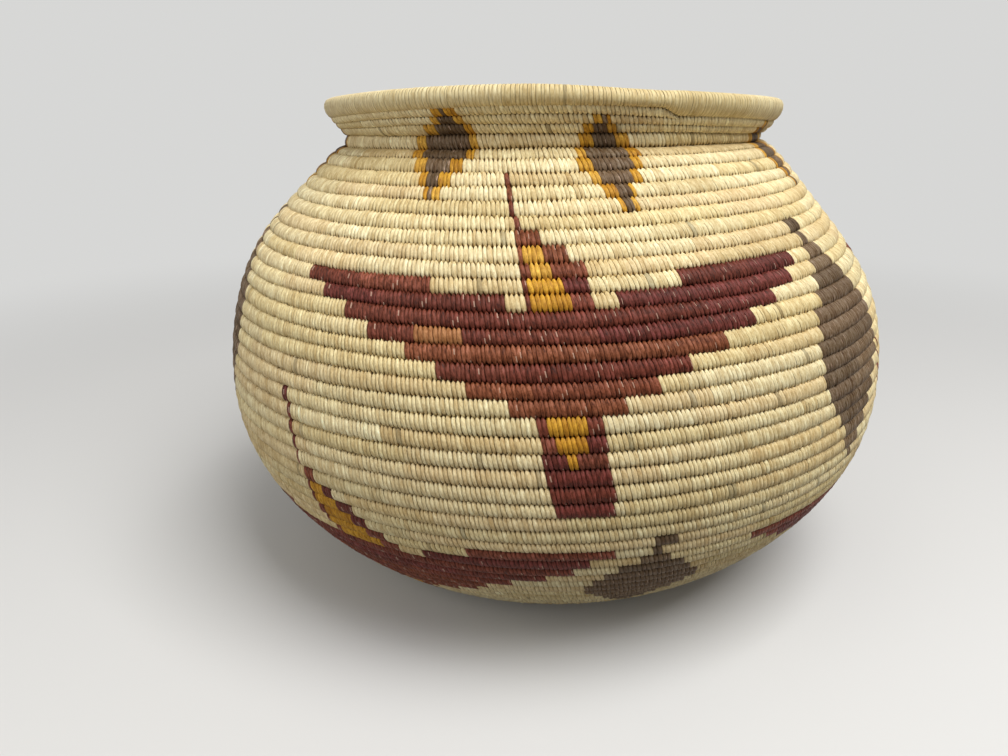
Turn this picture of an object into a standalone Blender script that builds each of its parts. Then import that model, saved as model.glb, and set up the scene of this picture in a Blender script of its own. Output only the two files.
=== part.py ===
"""Coiled jar basket: one palm coil laid round upon round, from the start knot to the rim.

Metres, +Z up. The basket stands on z = 0 with its axis on Z. Its front faces -Y.
The rounds are parted at a seam at the back, near +Y, and the coil ends at the front, under the rim.
"""

import math

import bpy
from mathutils import Vector

# Outer sizes of the jar
RIM_RADIUS = 0.1456
RIM_TOP = 0.3040
NECK_DRAWN_IN = 0.0144
NECK_DROP = 0.0245
BELLY_RADIUS = 0.2150
BELLY_HEIGHT = 0.1290
BASE_RADIUS = 0.1030

# How far the wall runs on in a line before it bends towards the next of those places
RIM_RUN = 0.0100
NECK_RUN = 0.0060
NECK_BEND = 0.0120
SHOULDER_SLOPE = math.radians(46.0)
SHOULDER_RUN = 0.0630
BELLY_RUN_UP = 0.0710
BELLY_RUN_DOWN = 0.0740
BASE_RUN = 0.0300

# The coil: its thin end at the rim, the zones, each with how many rounds it has and what share of a full
# round its first and its last one are, and the loops of the base, which start thin against the knot
RIM_COIL = 0.0090
ZONES = (
    ("neck", 4, 0.58, 0.80),
    ("shoulder", 9, 1.00, 1.02),
    ("belly", 15, 0.94, 1.03),
    ("foot", 22, 0.86, 0.84),
)
BASE_LOOPS = 12
BASE_START_SHARE = 0.4
KNOT_RADIUS = 0.0090
KNOT_HEIGHT = 0.0060

# Handwork: the rounds climb a little towards +X, the shoulder's also climb at both sides and lean
# towards -X, and the rim sits lower at both sides and tilts a little
CLIMB = 0.0043
SHOULDER_CLIMB = 0.0028
SHOULDER_LEAN = 0.0028
SHOULDER_FROM = 0.0450
SHOULDER_TO = 0.1650
RIM_DROOP = 0.0075
RIM_DROOP_REACH = 0.0450
RIM_TILT = 0.0020
RIM_TILT_TOWARDS = math.radians(-30.0)
RIM_TILT_FROM = 0.0150
RIM_TILT_REACH = 0.0400

# Clearances
ROUND_GAP = 0.0003
BASE_GAP = 0.0006

# At the neck each round steps down near the seam, further down the coil winds evenly
STEP_SHARE = 0.15
EVEN_FROM_ROUND = 4.0
EVEN_AFTER_ROUND = 9.0

LOOP_POINTS = 24
OUTLINE_STEPS = 60
SEAM_ANGLE = math.radians(90.0) + math.pi / LOOP_POINTS

# The coil's end, in sides from the seam. The rim thickens over the round that ends there, between two
# shares of the way round, and its top dips there, from a share before the end to a share after it
COIL_END_SIDES = 11
COIL_END = COIL_END_SIDES / LOOP_POINTS
RIM_SWELLS_FROM = 0.40
RIM_SWELLS_TO = 0.80
RIM_DIP = 0.0022
RIM_DIP_BEFORE = 0.08
RIM_DIP_AFTER = 0.14

FLAT_SHARE = math.sqrt(3.0) / 2.0

PALM_PALE = (0.79, 0.66, 0.42, 1.0)
PALM_RIM = (0.82, 0.71, 0.48, 1.0)
PALM_BASE = (0.70, 0.56, 0.34, 1.0)

WALL_ROUNDS = sum(count for _, count, _, _ in ZONES)


def smooth_step(value, start, end):
    """0 before start, 1 after end, and a smooth climb between them."""
    share = min(max((value - start) / (end - start), 0.0), 1.0)
    return share * share * (3.0 - 2.0 * share)


def bezier(start, start_handle, end_handle, end):
    """Points of one cubic curve, without its first point."""
    points = []
    for step in range(1, OUTLINE_STEPS + 1):
        t = step / OUTLINE_STEPS
        s = 1.0 - t
        points.append(
            start * s**3
            + start_handle * (3.0 * s * s * t)
            + end_handle * (3.0 * s * t * t)
            + end * t**3
        )
    return points


def jar_outline():
    """The jar's outer outline as (radius, height) points, from the rim's top to the middle of the base."""
    rim = Vector((RIM_RADIUS, RIM_TOP))
    neck = rim - Vector((NECK_DRAWN_IN, NECK_DROP))
    belly = Vector((BELLY_RADIUS, BELLY_HEIGHT))
    base = Vector((BASE_RADIUS, 0.0))
    down = Vector((0.0, -1.0))
    outward = Vector((1.0, 0.0))
    slope = Vector((math.cos(SHOULDER_SLOPE), -math.sin(SHOULDER_SLOPE)))
    bend_end = neck + slope * NECK_BEND
    points = [rim]
    points += bezier(rim, rim + down * RIM_RUN, neck - down * NECK_RUN, neck)
    points += bezier(neck, neck + down * NECK_BEND / 2, bend_end - slope * NECK_BEND / 2, bend_end)
    points += bezier(bend_end, bend_end + slope * SHOULDER_RUN, belly - down * BELLY_RUN_UP, belly)
    points += bezier(belly, belly + down * BELLY_RUN_DOWN, base + outward * BASE_RUN, base)
    return points


class Outline:
    """A polyline that is read by the distance along it."""

    def __init__(self, points):
        self.points = points
        self.arcs = [0.0]
        for first, second in zip(points, points[1:]):
            self.arcs.append(self.arcs[-1] + (second - first).length)
        self.length = self.arcs[-1]

    def at(self, arc):
        """The point at this distance. Past the base's edge it runs in along the table."""
        if arc >= self.length:
            return Vector((BASE_RADIUS - (arc - self.length), 0.0))
        low, high = 0, len(self.arcs) - 1
        while high - low > 1:
            middle = (low + high) // 2
            if self.arcs[middle] <= arc:
                low = middle
            else:
                high = middle
        share = (arc - self.arcs[low]) / (self.arcs[high] - self.arcs[low])
        return self.points[low].lerp(self.points[high], share)


def round_shares():
    """Each wall round's share of a full round, eased where one zone meets the next."""
    shares = []
    for _, count, first, last in ZONES:
        shares += [first + (last - first) * number / max(count - 1, 1) for number in range(count)]
    eased = []
    for index in range(len(shares)):
        near = shares[max(index - 1, 0) : index + 2]
        eased.append(sum(near) / len(near))
    return eased


class Spiral:
    """Where the coil runs, in turns counted from the seam.

    The rim takes one turn from the coil's end. The wall rounds follow, then the loops of the base.
    """

    def __init__(self):
        self.outline = Outline(jar_outline())
        shares = round_shares()
        full_round = (self.outline.length - RIM_COIL) / sum(shares)
        base_width = BASE_RADIUS - KNOT_RADIUS - BASE_GAP
        base_round = base_width / (BASE_LOOPS - 0.5 + BASE_START_SHARE)
        self.rounds = [full_round * share for share in shares] + [base_round] * (BASE_LOOPS + 2)
        self.edges = [RIM_COIL]
        for height in self.rounds:
            self.edges.append(self.edges[-1] + height)

    def edge(self, turn):
        """The outline distance of the coil's lower edge, with turn counted in whole and part rounds."""
        turn = max(turn, 0.0)
        whole = min(int(turn), len(self.rounds) - 1)
        return self.edges[whole] + self.rounds[whole] * (turn - whole)

    def lower_edge(self, turn):
        """The lower edge at a turn number whose fraction is the share of the way round from the seam."""
        if turn < 1.0:
            return self.edge(0.5 * smooth_step(turn, RIM_SWELLS_FROM, RIM_SWELLS_TO))
        share = turn - math.floor(turn)
        stepped = 0.5 * smooth_step(share, 0.0, STEP_SHARE) - share
        stepped += 0.5 * smooth_step(share, 1.0 - STEP_SHARE, 1.0)
        even = smooth_step(turn, EVEN_FROM_ROUND, EVEN_AFTER_ROUND)
        return self.edge(turn - 0.5 + (1.0 - even) * stepped)

    def place(self, arc, angle):
        """The outline point at this distance, with what the handwork does at this angle."""
        sideways = math.cos(angle) ** 2
        climb = CLIMB * math.sin(math.pi * min(arc / self.outline.length, 1.0)) * math.cos(angle)
        along = min(max((arc - SHOULDER_FROM) / (SHOULDER_TO - SHOULDER_FROM), 0.0), 1.0)
        shoulder = math.sin(math.pi * along) ** 2
        point = self.outline.at(arc - climb - SHOULDER_CLIMB * shoulder * sideways)
        lean = SHOULDER_LEAN * shoulder * math.cos(angle)
        droop = RIM_DROOP * (1.0 - smooth_step(arc, RIM_COIL, RIM_DROOP_REACH)) * sideways
        tilt = 1.0 - smooth_step(arc, RIM_TILT_FROM, RIM_TILT_REACH)
        tilt *= RIM_TILT * math.cos(angle - RIM_TILT_TOWARDS)
        return point - Vector((lean, droop + tilt))

    def rim_edge(self, turn):
        """The rim's upper edge. It dips at the coil's end, where the rim's own two ends meet."""
        before = smooth_step(turn, COIL_END, COIL_END + RIM_DIP_BEFORE)
        after = smooth_step(turn, 1.0 + COIL_END - RIM_DIP_AFTER, 1.0 + COIL_END)
        return RIM_DIP * (1.0 - before + after)

    def face(self, turn, rim):
        """The upper and lower edge of the rim's or a round's outer face, as (radius, height) points."""
        angle = SEAM_ANGLE - 2.0 * math.pi * turn
        upper_arc = self.rim_edge(turn) if rim else self.lower_edge(turn - 1.0)
        return self.place(upper_arc, angle), self.place(self.lower_edge(turn), angle)

    def section(self, turn, rim):
        """The coil's centre, radius and tilt at a turn, for the rim or for a round."""
        upper, lower = self.face(turn, rim)
        along = lower - upper
        room_below = fold_room((upper, lower), self.face(turn + 1.0, False), along.length)
        room_above = 0.0
        if not rim:
            below_rim = turn - 1.0 < 1.0 + COIL_END
            room_above = fold_room(self.face(turn - 1.0, below_rim), (upper, lower), along.length)
        radius = (along.length - ROUND_GAP) / (2.0 * FLAT_SHARE - room_above - room_below)
        outward = Vector((-along.y, along.x)).normalized()
        shift = along.normalized() * (room_below - room_above) / 2.0
        centre = (upper + lower) / 2.0 + (shift - outward) * radius
        angle = SEAM_ANGLE - 2.0 * math.pi * turn
        return around(centre, angle), radius, math.atan2(outward.y, outward.x)

    def rim_section(self, turn):
        """The section of the rim, which runs once round from the coil's end."""
        return self.section(turn, True)

    def round_section(self, turn):
        """The section of a round under the rim."""
        return self.section(turn, False)

    def base_section(self, turn):
        """The same for a loop of the base. It lies on one of its flats, and thins out against the knot."""
        angle = SEAM_ANGLE - 2.0 * math.pi * turn
        outer = self.outline.at(self.lower_edge(turn - 1.0)).x
        inner = self.outline.at(self.lower_edge(turn)).x
        inner = max(inner, KNOT_RADIUS + BASE_GAP)
        radius = ((outer - inner) * math.cos(math.pi / LOOP_POINTS) - BASE_GAP) / 2.0
        return around(Vector(((outer + inner) / 2.0, radius * FLAT_SHARE)), angle), radius, 0.0


def fold_room(above, below, length):
    """The room that the fold between two faces leaves the coil whose face has this length, in its radii.

    Where the wall folds outwards two coils come closest in front, half a radius behind their faces. Where it
    folds inwards they lose room, and come closest at the back, one and a half radii of the slighter one behind.
    """
    before, after = above[1] - above[0], below[1] - below[0]
    slighter = min(before.length, after.length) / length
    turned = math.atan2(before.x * after.y - before.y * after.x, before.dot(after))
    depth = 0.5 if turned > 0.0 else 1.5 * slighter
    return depth * math.tan(turned / 2.0)


def around(point, angle):
    """A (radius, height) point turned to an angle round the jar's axis."""
    return Vector((point.x * math.cos(angle), point.x * math.sin(angle), point.y))


def tube_stations(section, first, sides):
    """Stations of a tube over so many sides. Its ends lie halfway along a side, so that they meet square."""
    spots = [section(first + (index - 0.5) / LOOP_POINTS) for index in range(sides + 2)]
    start = end_station(spots[0], spots[1])
    end = end_station(spots[-1], spots[-2])
    return [start] + spots[1:-1] + [end]


def end_station(outside, inside):
    """The middle of a side, drawn back by half the gap that the two ends keep."""
    centre = (outside[0] + inside[0]) / 2.0
    back = (inside[0] - outside[0]).normalized() * (ROUND_GAP / 2.0)
    return centre + back, (outside[1] + inside[1]) / 2.0, (outside[2] + inside[2]) / 2.0


def least_gap(stations):
    """The least clearance between a wound tube's loops, measured on its points."""
    least = math.inf
    for index, (centre, radius, _) in enumerate(stations):
        for other, other_radius, _ in stations[index + LOOP_POINTS // 2 :]:
            least = min(least, (other - centre).length - radius - other_radius)
    return least


def palm_material(name, colour):
    """A dull straw finish for one sub-part."""
    material = bpy.data.materials.new(name + "_palm")
    material.use_nodes = True
    shader = material.node_tree.nodes["Principled BSDF"]
    shader.inputs["Base Color"].default_value = colour
    shader.inputs["Roughness"].default_value = 0.72
    shader.inputs["Metallic"].default_value = 0.0
    material.diffuse_color = colour
    return material


def add_tube(collection, name, stations, colour):
    """One six-sided coil through the stations, as a curve with filled ends."""
    curve = bpy.data.curves.new(name, "CURVE")
    curve.dimensions = "3D"
    curve.twist_mode = "Z_UP"
    curve.bevel_depth = 1.0
    curve.bevel_resolution = 1
    curve.use_fill_caps = True
    spline = curve.splines.new("POLY")
    spline.points.add(len(stations) - 1)
    for point, (centre, radius, tilt) in zip(spline.points, stations):
        point.co = (*centre, 1.0)
        point.radius = radius
        point.tilt = tilt
    curve.materials.append(palm_material(name, colour))
    tube = bpy.data.objects.new(name, curve)
    collection.objects.link(tube)
    return tube


def add_start_knot(collection):
    """The flat-bottomed knot in the middle of the base, turned round the jar's axis."""
    name = "start_knot"
    profile = (
        (0.0, KNOT_HEIGHT),
        (0.55 * KNOT_RADIUS, 0.94 * KNOT_HEIGHT),
        (0.88 * KNOT_RADIUS, 0.72 * KNOT_HEIGHT),
        (KNOT_RADIUS, 0.40 * KNOT_HEIGHT),
        (0.92 * KNOT_RADIUS, 0.0),
        (0.0, 0.0),
    )
    mesh = bpy.data.meshes.new(name)
    points = [(radius, 0.0, height) for radius, height in profile]
    mesh.from_pydata(points, [(i, i + 1) for i in range(len(points) - 1)], [])
    mesh.materials.append(palm_material(name, PALM_BASE))
    knot = bpy.data.objects.new(name, mesh)
    collection.objects.link(knot)
    screw = knot.modifiers.new("turn", "SCREW")
    screw.angle = 2.0 * math.pi
    screw.steps = LOOP_POINTS
    screw.render_steps = LOOP_POINTS
    screw.use_merge_vertices = True
    screw.merge_threshold = 0.0001
    screw.use_smooth_shade = True
    return knot


def build_basket():
    """Builds every round of the basket into a collection of its own."""
    collection = bpy.data.collections.new("coiled_jar_basket")
    bpy.context.scene.collection.children.link(collection)
    spiral = Spiral()
    rim = tube_stations(spiral.rim_section, COIL_END, LOOP_POINTS)
    add_tube(collection, "rim_coil", rim, PALM_RIM)
    first = 1.0 + COIL_END
    sides = LOOP_POINTS - COIL_END_SIDES
    for zone, count, _, _ in ZONES:
        for number in range(1, count + 1):
            stations = tube_stations(spiral.round_section, first, sides)
            add_tube(collection, f"{zone}_round_{number:02d}", stations, PALM_PALE)
            first += sides / LOOP_POINTS
            sides = LOOP_POINTS
    base = tube_stations(spiral.base_section, WALL_ROUNDS + 1.0, BASE_LOOPS * LOOP_POINTS)
    add_tube(collection, "base_coil", base, PALM_BASE)
    add_start_knot(collection)
    print(f"base_coil keeps {least_gap(base) * 1000:.2f} mm to itself over {BASE_LOOPS} loops")
    print(f"a full round is {max(spiral.rounds) * 1000:.2f} mm high")


def main():
    """Clears the scene and builds the basket."""
    for old in list(bpy.data.objects):
        bpy.data.objects.remove(old)
    build_basket()


main()
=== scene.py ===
"""The looks of a coiled jar basket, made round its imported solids.

Every round of the coil is wrapped in stitches of palm splint. A weaver's chart gives each
stitch its dye: three large birds and three small ones, with lozenges between them, and a
ring of diamonds round the neck. Sizes are in metres, and the chart's angles are in degrees
from the front, growing towards +X.
"""

import logging
import math
import random
from dataclasses import dataclass
from enum import Enum

import bmesh
import bpy
import numpy as np
from mathutils import Matrix, Vector


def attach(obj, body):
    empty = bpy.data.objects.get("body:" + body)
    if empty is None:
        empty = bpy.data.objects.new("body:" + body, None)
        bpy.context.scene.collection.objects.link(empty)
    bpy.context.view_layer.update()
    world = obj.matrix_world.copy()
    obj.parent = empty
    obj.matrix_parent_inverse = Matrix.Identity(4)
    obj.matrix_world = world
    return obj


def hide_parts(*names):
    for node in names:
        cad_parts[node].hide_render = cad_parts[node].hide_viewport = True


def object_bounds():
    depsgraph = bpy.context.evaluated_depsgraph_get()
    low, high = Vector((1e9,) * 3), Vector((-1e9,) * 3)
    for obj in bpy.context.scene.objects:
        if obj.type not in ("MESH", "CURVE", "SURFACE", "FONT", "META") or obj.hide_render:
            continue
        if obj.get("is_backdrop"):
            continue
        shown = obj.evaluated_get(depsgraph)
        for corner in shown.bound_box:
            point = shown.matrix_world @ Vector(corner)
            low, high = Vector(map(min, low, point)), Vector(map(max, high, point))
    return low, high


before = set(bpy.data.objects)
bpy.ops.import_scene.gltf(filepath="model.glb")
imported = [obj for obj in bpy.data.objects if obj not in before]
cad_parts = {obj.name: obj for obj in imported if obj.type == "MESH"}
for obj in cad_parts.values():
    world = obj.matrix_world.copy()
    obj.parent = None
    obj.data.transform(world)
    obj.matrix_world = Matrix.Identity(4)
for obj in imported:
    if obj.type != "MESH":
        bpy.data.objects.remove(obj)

LOG = logging.getLogger("coiled_basket")
FULL_TURN = 2.0 * math.pi

Colour = tuple[float, float, float]
Place = tuple[float, float, float]
Shown = tuple[int, int, int]
Edges = tuple[np.ndarray, np.ndarray]
Socket = bpy.types.NodeSocket


def smooth_step(value: np.ndarray, start: float, end: float) -> np.ndarray:
    """Eases from 0 to 1 as the value goes from the start to the end."""
    share = np.clip((value - start) / (end - start), 0.0, 1.0)
    return share * share * (3.0 - 2.0 * share)


def display_colour(red: int, green: int, blue: int) -> Colour:
    """Turns a colour as it looks on a screen, 0 to 255, into the linear one that shaders take."""
    shown = [channel / 255.0 for channel in (red, green, blue)]
    return tuple(((c + 0.055) / 1.055) ** 2.4 if c > 0.04045 else c / 12.92 for c in shown)


@dataclass(frozen=True)
class JarShape:
    """The jar's outer sizes, and how its outline bends between them."""

    rim_radius: float = 0.1456
    rim_top: float = 0.3040
    neck_radius: float = 0.1312
    neck_height: float = 0.2795
    belly_radius: float = 0.2150
    belly_height: float = 0.1290
    base_radius: float = 0.1030
    rim_run: float = 0.0100
    neck_run: float = 0.0060
    neck_bend: float = 0.0120
    shoulder_slope: float = math.radians(46.0)
    shoulder_run: float = 0.0630
    belly_run_up: float = 0.0710
    belly_run_down: float = 0.0740
    base_run: float = 0.0300
    steps: int = 60

    def bezier(self, start: Vector, first: Vector, second: Vector, end: Vector) -> list[Vector]:
        """Reads one cubic curve.

        Args:
            start: Where the curve starts.
            first: The handle of its start.
            second: The handle of its end.
            end: Where the curve ends.

        Returns:
            Its points, without the first one.
        """
        points = []
        for step in range(1, self.steps + 1):
            t = step / self.steps
            s = 1.0 - t
            points.append(start * s**3 + first * (3 * s * s * t) + second * (3 * s * t * t) + end * t**3)
        return points

    def outline(self) -> np.ndarray:
        """Draws the outline from the rim's top to the edge of the base.

        Returns:
            Rows of radius and height.
        """
        rim = Vector((self.rim_radius, self.rim_top))
        neck = Vector((self.neck_radius, self.neck_height))
        belly = Vector((self.belly_radius, self.belly_height))
        base = Vector((self.base_radius, 0.0))
        down = Vector((0.0, -1.0))
        outward = Vector((1.0, 0.0))
        slope = Vector((math.cos(self.shoulder_slope), -math.sin(self.shoulder_slope)))
        bent = neck + slope * self.neck_bend
        ease = self.neck_bend / 2.0
        points = [rim]
        points += self.bezier(rim, rim + down * self.rim_run, neck - down * self.neck_run, neck)
        points += self.bezier(neck, neck + down * ease, bent - slope * ease, bent)
        points += self.bezier(bent, bent + slope * self.shoulder_run, belly - down * self.belly_run_up, belly)
        points += self.bezier(belly, belly + down * self.belly_run_down, base + outward * self.base_run, base)
        return np.array([tuple(point) for point in points])


@dataclass(frozen=True)
class Laying:
    """How the coil is laid: its zones, and the unevenness of handwork.

    A zone has its name, how many rounds it has, and the first and last one's share of a full round.
    """

    rim_coil: float = 0.0090
    zones: tuple[tuple[str, int, float, float], ...] = (
        ("neck", 4, 0.58, 0.80),
        ("shoulder", 9, 1.00, 1.02),
        ("belly", 15, 0.94, 1.03),
        ("foot", 22, 0.86, 0.84),
    )
    base_loops: int = 12
    base_start_share: float = 0.4
    knot_radius: float = 0.0090
    knot_height: float = 0.0060
    base_gap: float = 0.0006
    climb: float = 0.0043
    shoulder_climb: float = 0.0028
    shoulder_lean: float = 0.0028
    shoulder_from: float = 0.0450
    shoulder_to: float = 0.1650
    rim_droop: float = 0.0075
    rim_droop_reach: float = 0.0450
    rim_tilt: float = 0.0020
    rim_tilt_towards: float = math.radians(-30.0)
    rim_tilt_from: float = 0.0150
    rim_tilt_reach: float = 0.0400
    step_share: float = 0.15
    even_from_round: float = 4.0
    even_after_round: float = 9.0
    seam_angle: float = math.radians(97.5)
    coil_end_angle: float = math.radians(-67.5)
    rim_swells_from: float = 0.40
    rim_swells_to: float = 0.80
    rim_dip: float = 0.0022
    rim_dip_before: float = 0.08
    rim_dip_after: float = 0.14
    rim_overlap: float = 0.0011
    under_rim: float = 0.0016
    under_rim_reach: float = 0.04
    neck_tuck: float = 0.0018
    neck_tuck_reach: float = 0.0240
    coil_tip: float = 0.016
    wander: float = 0.00030
    wander_waves: tuple[float, float] = (3.7, 8.3)
    wander_shift: float = 1.3
    most_fold: float = 0.8

    @property
    def coil_end(self) -> float:
        """The share of the way round from the seam at which the coil ends, under the rim."""
        return (self.seam_angle - self.coil_end_angle) / FULL_TURN


class Coil:
    """The coil's course, from its end at the rim down to the start knot.

    A place on the coil is its turn plus the share of the way round from the seam. The rim is the coil's
    last turn. It starts where the coil ends, and its thick other end covers the round under it.
    """

    def __init__(self, shape: JarShape, laying: Laying) -> None:
        """Measures the outline and spreads the rounds along it.

        Args:
            shape: The jar's outline.
            laying: How the coil is laid along it.
        """
        self.laying = laying
        self.points = shape.outline()
        self.arcs = np.concatenate([[0.0], np.cumsum(np.hypot(*np.diff(self.points, axis=0).T))])
        self.length = float(self.arcs[-1])
        shares = np.concatenate([np.linspace(first, last, count) for _, count, first, last in laying.zones])
        eased = [float(np.mean(shares[max(i - 1, 0) : i + 2])) for i in range(len(shares))]
        full_round = (self.length - laying.rim_coil) / sum(eased)
        base_width = shape.base_radius - laying.knot_radius - laying.base_gap
        base_round = base_width / (laying.base_loops - 0.5 + laying.base_start_share)
        heights = [full_round * share for share in eased] + [base_round] * (laying.base_loops + 2)
        self.edges = laying.rim_coil + np.concatenate([[0.0], np.cumsum(heights)])

    def angle(self, place: np.ndarray) -> np.ndarray:
        """The angle about +Z, in radians from +X, of a place on the coil."""
        return self.laying.seam_angle - FULL_TURN * place

    def place_of(self, degrees: float) -> float:
        """The share of a turn at which the coil passes an angle from the front."""
        return ((math.degrees(self.laying.seam_angle) + 90.0 - degrees) / 360.0) % 1.0

    def lower_edge(self, turn: np.ndarray) -> np.ndarray:
        """How far down the outline the coil's lower edge lies.

        Args:
            turn: Places on the coil.

        Returns:
            Distances along the outline.
        """
        lay = self.laying
        share = turn - np.floor(turn)
        step = lay.step_share
        stepped = 0.5 * smooth_step(share, 0.0, step) + 0.5 * smooth_step(share, 1.0 - step, 1.0) - share
        even = smooth_step(turn, lay.even_from_round, lay.even_after_round)
        counted = np.maximum(turn - 0.5 + (1.0 - even) * stepped, 0.0)
        swelling = 0.5 * smooth_step(turn, lay.rim_swells_from, lay.rim_swells_to)
        counted = np.where(turn < 1.0, swelling, counted)
        slow, fast = lay.wander_waves
        wander = np.sin(FULL_TURN * slow * turn) + np.sin(FULL_TURN * fast * turn + lay.wander_shift)
        wander = wander * lay.wander * np.minimum(counted, 1.0)
        return np.interp(counted, np.arange(len(self.edges)), self.edges) + wander

    def put(self, arc: np.ndarray, angle: np.ndarray) -> np.ndarray:
        """The outline's point at a distance along it, with what the handwork does at an angle.

        Args:
            arc: Distances along the outline.
            angle: Angles about +Z.

        Returns:
            Rows of radius and height.
        """
        lay = self.laying
        sideways = np.cos(angle) ** 2
        climb = lay.climb * np.sin(math.pi * np.minimum(arc / self.length, 1.0)) * np.cos(angle)
        along = np.clip((arc - lay.shoulder_from) / (lay.shoulder_to - lay.shoulder_from), 0.0, 1.0)
        shoulder = np.sin(math.pi * along) ** 2
        moved = arc - climb - lay.shoulder_climb * shoulder * sideways
        radius = np.interp(moved, self.arcs, self.points[:, 0]) - np.maximum(moved - self.length, 0.0)
        radius = np.maximum(radius, lay.knot_radius + lay.base_gap)
        height = np.interp(moved, self.arcs, self.points[:, 1])
        droop = lay.rim_droop * (1.0 - smooth_step(arc, lay.rim_coil, lay.rim_droop_reach)) * sideways
        tilt = 1.0 - smooth_step(arc, lay.rim_tilt_from, lay.rim_tilt_reach)
        tilt = lay.rim_tilt * tilt * np.cos(angle - lay.rim_tilt_towards)
        lean = lay.shoulder_lean * shoulder * np.cos(angle)
        return np.stack([radius - lean, height - droop - tilt], axis=-1)

    def face(self, turn: np.ndarray, rim: bool) -> Edges:
        """The upper and lower edge of the coil's outer face at places on it.

        Args:
            turn: Places on the coil.
            rim: Whether they lie on the rim, or on a round under it.

        Returns:
            Rows of radius and height for the upper edge, and for the lower.
        """
        lay = self.laying
        end = lay.coil_end
        before = smooth_step(turn, end, end + lay.rim_dip_before)
        after = smooth_step(turn, 1.0 + end - lay.rim_dip_after, 1.0 + end)
        rim_top = lay.rim_dip * (1.0 - before + after)
        lower = self.lower_edge(turn)
        above = self.lower_edge(turn - 1.0)
        tip = smooth_step(turn, 1.0 + end - lay.coil_tip, 1.0 + end)
        rim_bottom = np.where(turn < 1.0, lower, lower + (above - lower) * tip)
        if rim:
            upper, lower = rim_top, rim_bottom + lay.rim_overlap
        else:
            reach = lay.under_rim_reach
            starts = smooth_step(turn, 1.0 + end, 1.0 + end + reach)
            stops = smooth_step(turn, 2.0 + end - reach, 2.0 + end)
            upper = np.where(turn < 1.0 + end, rim_bottom, above) - lay.under_rim * starts * (1.0 - stops)
        angle = self.angle(turn)
        edges = self.put(upper, angle), self.put(lower, angle)
        if not rim:
            for edge, arc in zip(edges, (upper, lower)):
                edge[:, 0] -= lay.neck_tuck * (1.0 - smooth_step(arc, lay.rim_coil, lay.neck_tuck_reach))
        return edges

    def folds(self, turn: np.ndarray, rim: bool) -> Edges:
        """How the wall folds at the coil's upper and lower edge.

        Args:
            turn: Places on the coil.
            rim: Whether they lie on the rim, or on a round under it.

        Returns:
            The tangent of half the outward fold above, and below.
        """
        own, below = self.face(turn, rim), self.face(turn + 1.0, False)
        lower = self.half_fold(own, below)
        if rim:
            return np.zeros_like(lower), lower
        on_rim = turn - 1.0 < 1.0 + self.laying.coil_end
        under_rim = self.half_fold(self.face(turn - 1.0, True), own)
        upper = np.where(on_rim, under_rim, self.half_fold(self.face(turn - 1.0, False), own))
        return upper, lower

    def half_fold(self, first: Edges, second: Edges) -> np.ndarray:
        """Measures how the wall folds from one face of the coil to the next one down.

        Args:
            first: The upper face's edges.
            second: The lower face's edges.

        Returns:
            The tangent of half the outward fold.
        """
        before, after = first[1] - first[0], second[1] - second[0]
        cross = before[:, 0] * after[:, 1] - before[:, 1] * after[:, 0]
        turned = np.arctan2(cross, np.sum(before * after, axis=1))
        return np.tan(np.clip(turned, -self.laying.most_fold, self.laying.most_fold) / 2.0)


class Dye(Enum):
    """What a splint is dyed with."""

    STRAW = "undyed straw"
    MAROON = "maroon"
    RUSSET = "russet"
    TAN = "tan"
    GOLD = "gold"
    UMBER = "umber"


@dataclass(frozen=True)
class DyeLot:
    """The shades that one dye comes out in on a screen, how much they differ, and how strong its fibre
    streaks are, partly grain and partly painted highlight.
    """

    shades: tuple[Shown, ...]
    spread: float
    # How strong the fibre streaks are, as grain and painted highlight; it also widens each stitch's shade.
    streak_and_highlight: float = 1.5

    def draw(self, rng: random.Random) -> np.ndarray:
        """Picks the linear shade of one splint, by chance."""
        shade = np.array(display_colour(*rng.choice(self.shades)))
        return shade * (1.0 + rng.uniform(-self.spread, self.spread))


DYE_LOTS = {
    Dye.STRAW: DyeLot(
        (
            *((229, 210, 160), (223, 202, 149), (235, 218, 171)),
            *((220, 196, 144), (231, 212, 164), (226, 203, 154)),
        ),
        0.06,
    ),
    Dye.MAROON: DyeLot(((114, 56, 38), (104, 48, 33), (121, 64, 44), (101, 45, 35)), 0.12, 5.0),
    Dye.RUSSET: DyeLot(((130, 73, 45), (119, 63, 40)), 0.10, 4.6),
    Dye.TAN: DyeLot(((164, 110, 66), (152, 99, 58)), 0.08, 2.6),
    Dye.GOLD: DyeLot(((202, 149, 46), (193, 138, 40), (210, 160, 62)), 0.07, 2.4),
    Dye.UMBER: DyeLot(((112, 90, 66), (100, 80, 57), (120, 98, 72)), 0.10, 3.4),
}


@dataclass(frozen=True)
class Run:
    """Stitches of one dye, from and to an angle off the figure's middle."""

    start: float
    end: float
    dye: Dye = Dye.MAROON


@dataclass(frozen=True)
class Figure:
    """A woven figure: the runs of each of its rounds, from the top one down."""

    rounds: tuple[tuple[Run, ...], ...]


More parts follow.
